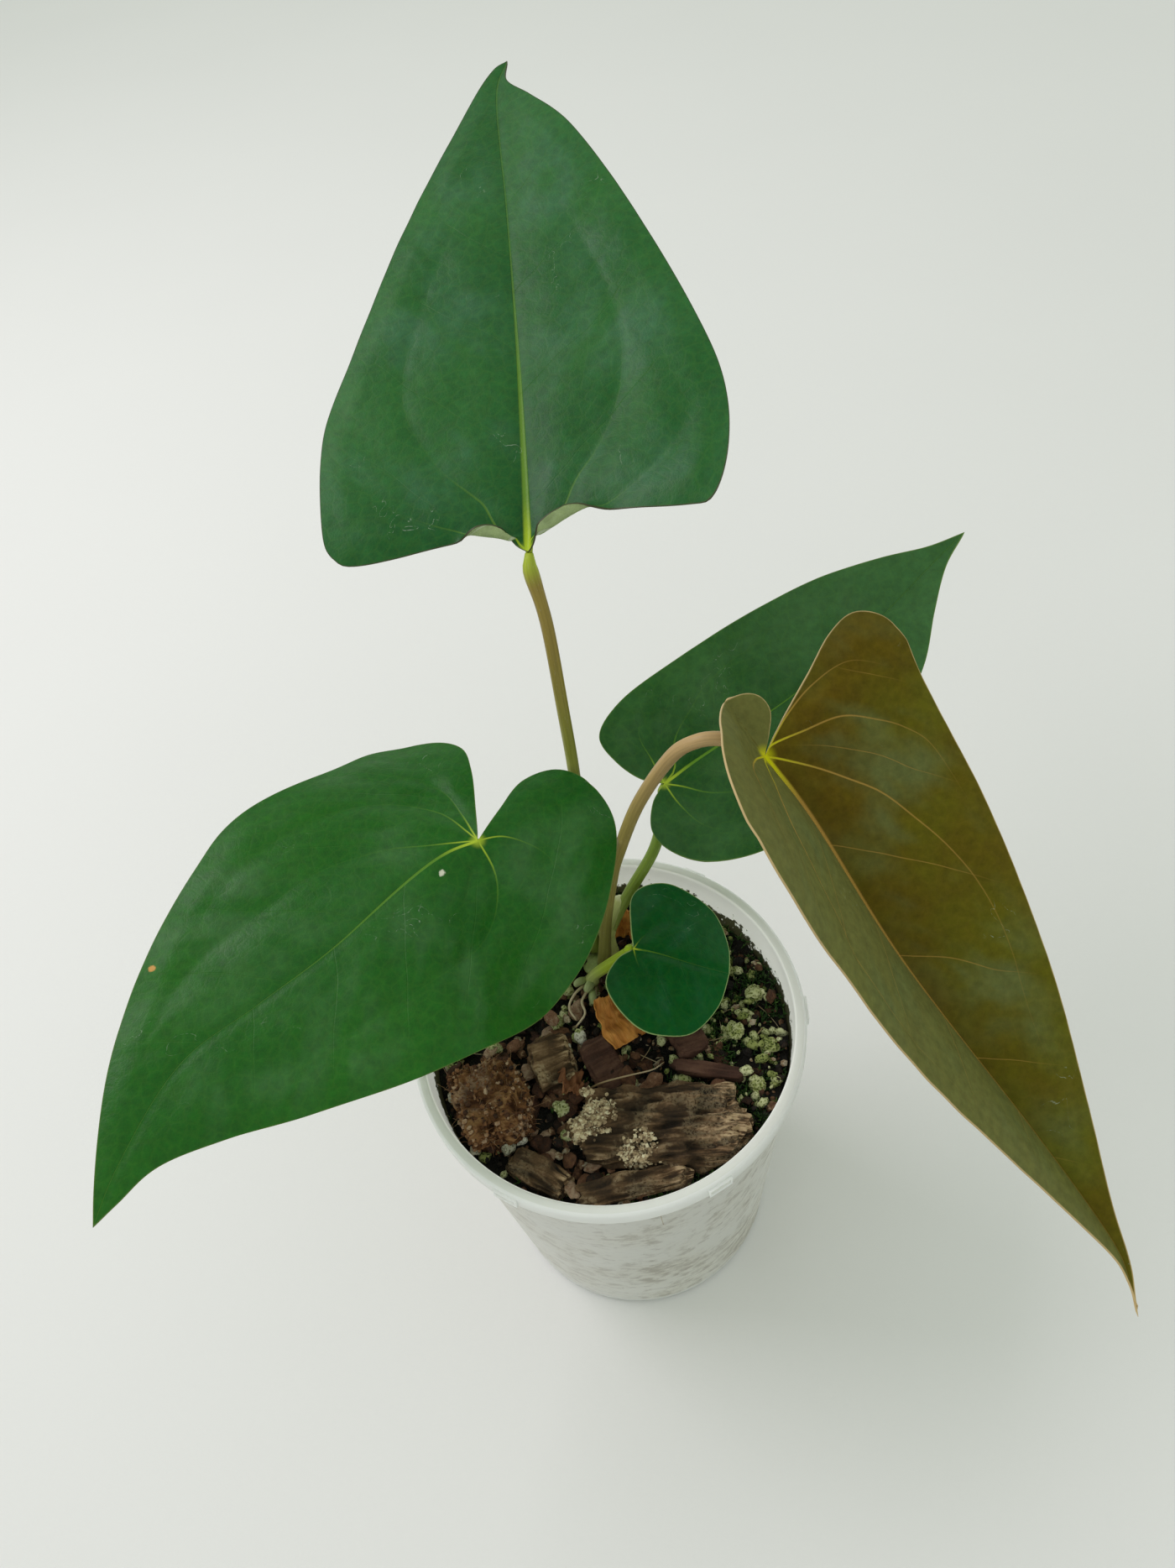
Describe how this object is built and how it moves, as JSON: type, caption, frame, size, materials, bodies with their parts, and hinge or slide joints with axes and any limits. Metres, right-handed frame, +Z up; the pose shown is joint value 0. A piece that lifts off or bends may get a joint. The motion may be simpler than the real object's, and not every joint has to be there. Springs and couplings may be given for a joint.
{
  "type": "potted anthurium",
  "caption": "Young anthurium with heart-shaped leaves on long stalks, one of them new and bronze, growing in a frosted clear plastic cup of bark and pumice mix.",
  "frame": {"origin": "centre of the pot's base, on the plane that the pot stands on", "axes": "+Z up along the pot's axis, -Y the plant's front, +X its right; the young bronze leaf hangs on the +X side and the tall leaf leans to +Y"},
  "size_m": [0.2467, 0.3057, 0.2861],
  "materials": {
    "pot_plastic": "satin",
    "potting_mix": "matte",
    "stem_green": "satin",
    "stalk_olive": "satin",
    "stalk_green": "satin",
    "stalk_bronze": "satin",
    "leaf_green": "satin",
    "leaf_dark": "satin",
    "leaf_bronze": "satin",
    "bark": "matte",
    "coir": "matte",
    "pumice": "matte",
    "dry_sheath": "matte",
    "root_fibre": "matte"
  },
  "bodies": {
    "root": {"pot": "pot_plastic", "potting_mix": "potting_mix", "stem": "stem_green", "leaf_tall_petiole": "stalk_olive", "leaf_tall_blade": "leaf_dark", "leaf_left_petiole": "stalk_green", "leaf_left_blade": "leaf_green", "leaf_right_petiole": "stalk_green", "leaf_right_blade": "leaf_green", "leaf_young_petiole": "stalk_bronze", "leaf_young_blade": "leaf_bronze", "leaf_small_petiole": "stalk_green", "leaf_small_blade": "leaf_green", "bark_slab": "bark", "bark_front": "bark", "bark_left": "bark", "bark_curl": "bark", "bark_chip_centre": "bark", "bark_chip_right": "bark", "bark_chip_long": "bark", "bark_rear": "bark", "coir_chunk": "coir", "pumice_grain_01": "pumice", "pumice_grain_02": "pumice", "pumice_grain_03": "pumice", "pumice_grain_04": "pumice", "pumice_grain_05": "pumice", "pumice_grain_06": "pumice", "pumice_grain_07": "pumice", "pumice_grain_08": "pumice", "pumice_grain_09": "pumice", "pumice_grain_10": "pumice", "pumice_grain_11": "pumice", "pumice_grain_12": "pumice", "pumice_grain_13": "pumice", "pumice_grain_14": "pumice", "dry_sheath_front": "dry_sheath", "dry_sheath_rear": "dry_sheath", "root_fibre": "root_fibre"}
  },
  "joints": []
}
